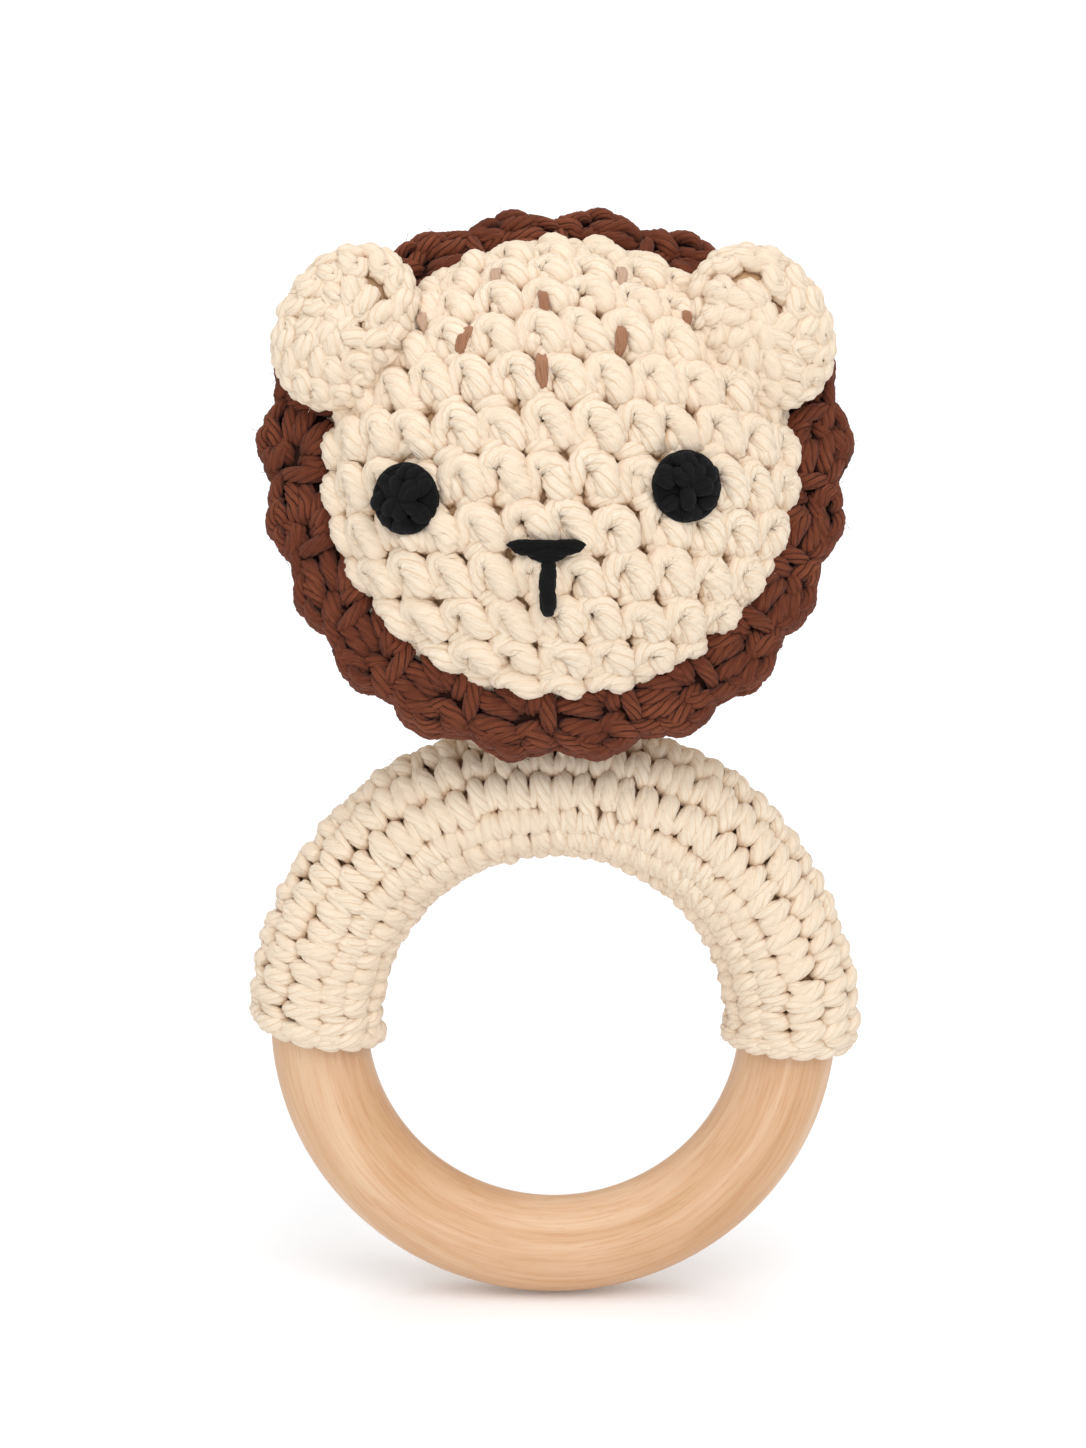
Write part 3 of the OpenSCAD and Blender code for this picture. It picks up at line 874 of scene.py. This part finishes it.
def mark_stitches(name, places, material):
    """Each mark is one stitch of three fine strands side by side."""
    yarn = Yarn(plies=4, groove=0.15)
    paths = []
    for x, z, s, wide, tall in places:
        for o, e in ((-0.24, 0.1), (0.0, -0.2), (0.23, 0.25)):
            h = tall / 2
            xs = x + o * wide
            foot = x + o * wide * 0.8 - s * h
            paths.append([(xs + s * h, z + h + e, -1.7), (xs + s * h * 0.5, z + h * 0.45, -0.5),
                          (xs - s * h * 0.4, z - h * 0.4, 0.0), (foot, z - h + e, -1.4)])
    face_strands(yarn, paths, plump(12, 0.5, 1.0, 0.5) * 0.42)
    return yarn.make(name, material)


marks = mark_stitches("forehead_marks", MARKS, MARK)
pale_marks = mark_stitches("forehead_marks_pale", PALE_MARKS, PALE_MARK)

# ---------------------------------------------------------------- neck

neck = Yarn()
neck_turn = rot_x(-math.asin(HEAD_BACK / NECK_REACH))
paths, normals = [], []
for side in (-1, 1):
    for x in (-7, -4.2, -1.4, 1.4, 4.2, 7):
        c = np.array([[x + dx, side * y, SLEEVE_R + z] for dx, y, z in (
            (-0.5, 7.8, -3.6), (-0.2, 7.3, -1.8), (0.3, 7.4, 0.2), (0.5, 8.4, 1.8))])
        c += rng.normal(0, 0.15, c.shape)
        # they stand round the line from the top of the ring's centreline to the head's middle
        p = spline(c, 12) @ neck_turn.T + np.array([0, 0, RING_R])
        paths.append(p)
        normals.append(np.broadcast_to(np.array([0.0, side, 0.0]), (12, 3)))
neck.add(np.array(paths), np.array(normals), 0.9 * plump(12, 0.55, 1.0, 0.5))
neck = neck.make("neck_seam", CREAM)

# ---------------------------------------------------------------- loose fibres

def fuzz(name, material, sources, count, out=1.6):
    """Fine loose fibres that stand off the yarn."""
    parts = []
    for o in sources:
        co = np.zeros(len(o.data.vertices) * 3, np.float32)
        no = np.zeros(len(o.data.vertices) * 3, np.float32)
        o.data.vertices.foreach_get("co", co)
        o.data.vertices.foreach_get("normal", no)
        parts.append(np.concatenate([co.reshape(-1, 3) / MM, no.reshape(-1, 3)], axis=1))
    pool = np.concatenate(parts)
    pick = pool[rng.integers(0, len(pool), count)].astype(float)
    p, nrm = pick[:, :3], unit(pick[:, 3:])
    side = unit(np.cross(nrm, rng.normal(size=(count, 3))))
    length = rng.uniform(0.5, 1.7, (count, 1))
    lift = rng.uniform(0.1, out, (count, 1)) * 0.5
    bend = unit(np.cross(nrm, side)) * rng.normal(0, 0.5, (count, 1))
    c = np.stack([p - nrm * 0.2, p + nrm * lift * 0.6 + side * length * 0.4,
                  p + nrm * lift + side * length * 0.8 + bend * 0.5,
                  p + nrm * lift * 0.9 + side * length * 1.1 + bend * 1.2], axis=1)
    yarn = Yarn(plies=3, fine=1)
    n = 6
    path = spline(c, n)
    # a lift of 3.0 keeps the fibres out of the painted shade low in the fabric
    yarn.add(path, np.broadcast_to(nrm[:, None, :], path.shape) + 0.01, np.full(n, 0.03), 1.0, lift=3.0)
    return yarn.make(name, material)


cream_sources = [*head_parts, sleeve_outer, sleeve_inner, *[e[0] for e in ears.values()]]
cream_fuzz = fuzz("cream_fibres", CREAM, cream_sources, 5200)
brown_fuzz = fuzz("brown_fibres", BROWN, [mane_front, mane_back, mane_edge], 2200)
black_fuzz = fuzz("black_fibres", BLACK, [e[0] for e in eyes.values()], 90, 1.2)

# ---------------------------------------------------------------- inside the head

for n, mat in (("head_stuffing", FLUFF), ("capsule_front_shell", SHELL), ("capsule_back_shell", SHELL),
               *[("bead_%d" % i, BEAD) for i in range(1, 6)]):
    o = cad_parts[n]
    o.data.materials.clear()
    o.data.materials.append(mat)

# ---------------------------------------------------------------- bodies, and hidden CAD parts

for o in (*head_parts, head_ball, cream_fuzz, join, sleeve_outer, sleeve_inner, sleeve_core, hems, seam, neck,
          *[p for e in ears.values() for p in e], *ear_seams.values()):
    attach(o, "plush")
for o in (mane_front, mane_back, mane_edge, mane_inner, brown_fuzz):
    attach(o, "plush")
for o in (nose, mouth, black_fuzz, *[p for e in eyes.values() for p in e]):
    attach(o, "plush")
for o in (marks, pale_marks):
    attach(o, "plush")
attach(ring, "ring")

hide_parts("head_shell")
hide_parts("sleeve")
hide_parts("sleeve_seam_yarn")
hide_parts("neck_stitches")
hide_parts("mane")
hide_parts("wooden_ring")
for k in ("left", "right"):
    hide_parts("ear_" + k)
    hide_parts("ear_%s_stitches" % k)
    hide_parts("eye_" + k)
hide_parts("nose_stitches")
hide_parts("mouth_stitch")
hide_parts("forehead_stitches")

# ---------------------------------------------------------------- floor, light, camera

FLOOR_Z = -35.3
FLOOR_HALF = 3000
floor = mesh_object("floor", np.array([[x * FLOOR_HALF, y * FLOOR_HALF, FLOOR_Z]
                                       for x, y in ((-1, -1), (1, -1), (1, 1), (-1, 1))]),
                    np.array([[0, 1, 2, 3]]), rounded=False)
fm, _, b = principled("floor")
b.inputs["Base Color"].default_value = (0.92, 0.935, 0.96, 1)
b.inputs["Roughness"].default_value = 0.9
b.inputs["Emission Color"].default_value = (1, 1, 1, 1)
b.inputs["Emission Strength"].default_value = 0.1
floor.data.materials.append(fm)

world = bpy.data.worlds.new("studio")
world.use_nodes = True
world.node_tree.nodes["Background"].inputs[0].default_value = (1.0, 0.995, 0.985, 1)
world.node_tree.nodes["Background"].inputs[1].default_value = 0.53
bpy.context.scene.world = world

for name, toward, strength, angle in (("key", (-0.3, 0.8, -0.85), 1.3, 50),
                                      ("fill", (0.6, 0.8, -0.5), 0.5, 80),
                                      ("top", (0.05, -0.15, -1.0), 0.95, 60)):
    sun = bpy.data.lights.new(name, "SUN")
    sun.energy = strength
    sun.angle = math.radians(angle)
    o = bpy.data.objects.new(name, sun)
    o.rotation_euler = Vector(toward).to_track_quat("-Z", "Y").to_euler()
    bpy.context.scene.collection.objects.link(o)

CAM_UP = math.radians(13)
PICTURE_TALL = 0.1794    # metres, at the object
PICTURE_AT = (-0.0013, 0.0366)      # the picture's middle, right of and above the ring's centre
LENS, SENSOR = 100, 24
cam_data = bpy.data.cameras.new("camera")
cam = bpy.data.objects.new("camera", cam_data)
bpy.context.scene.collection.objects.link(cam)
cam_data.sensor_fit = "VERTICAL"
cam_data.sensor_height = SENSOR
cam_data.lens = LENS
view_dir = Vector((0, math.cos(CAM_UP), -math.sin(CAM_UP)))
up = Vector((0, math.sin(CAM_UP), math.cos(CAM_UP)))
cam.location = Vector((PICTURE_AT[0], 0, 0)) + up * PICTURE_AT[1] - view_dir * (PICTURE_TALL * LENS / SENSOR)
cam.rotation_euler = view_dir.to_track_quat("-Z", "Y").to_euler()
bpy.context.scene.camera = cam
bpy.context.scene.view_settings.view_transform = "Standard"
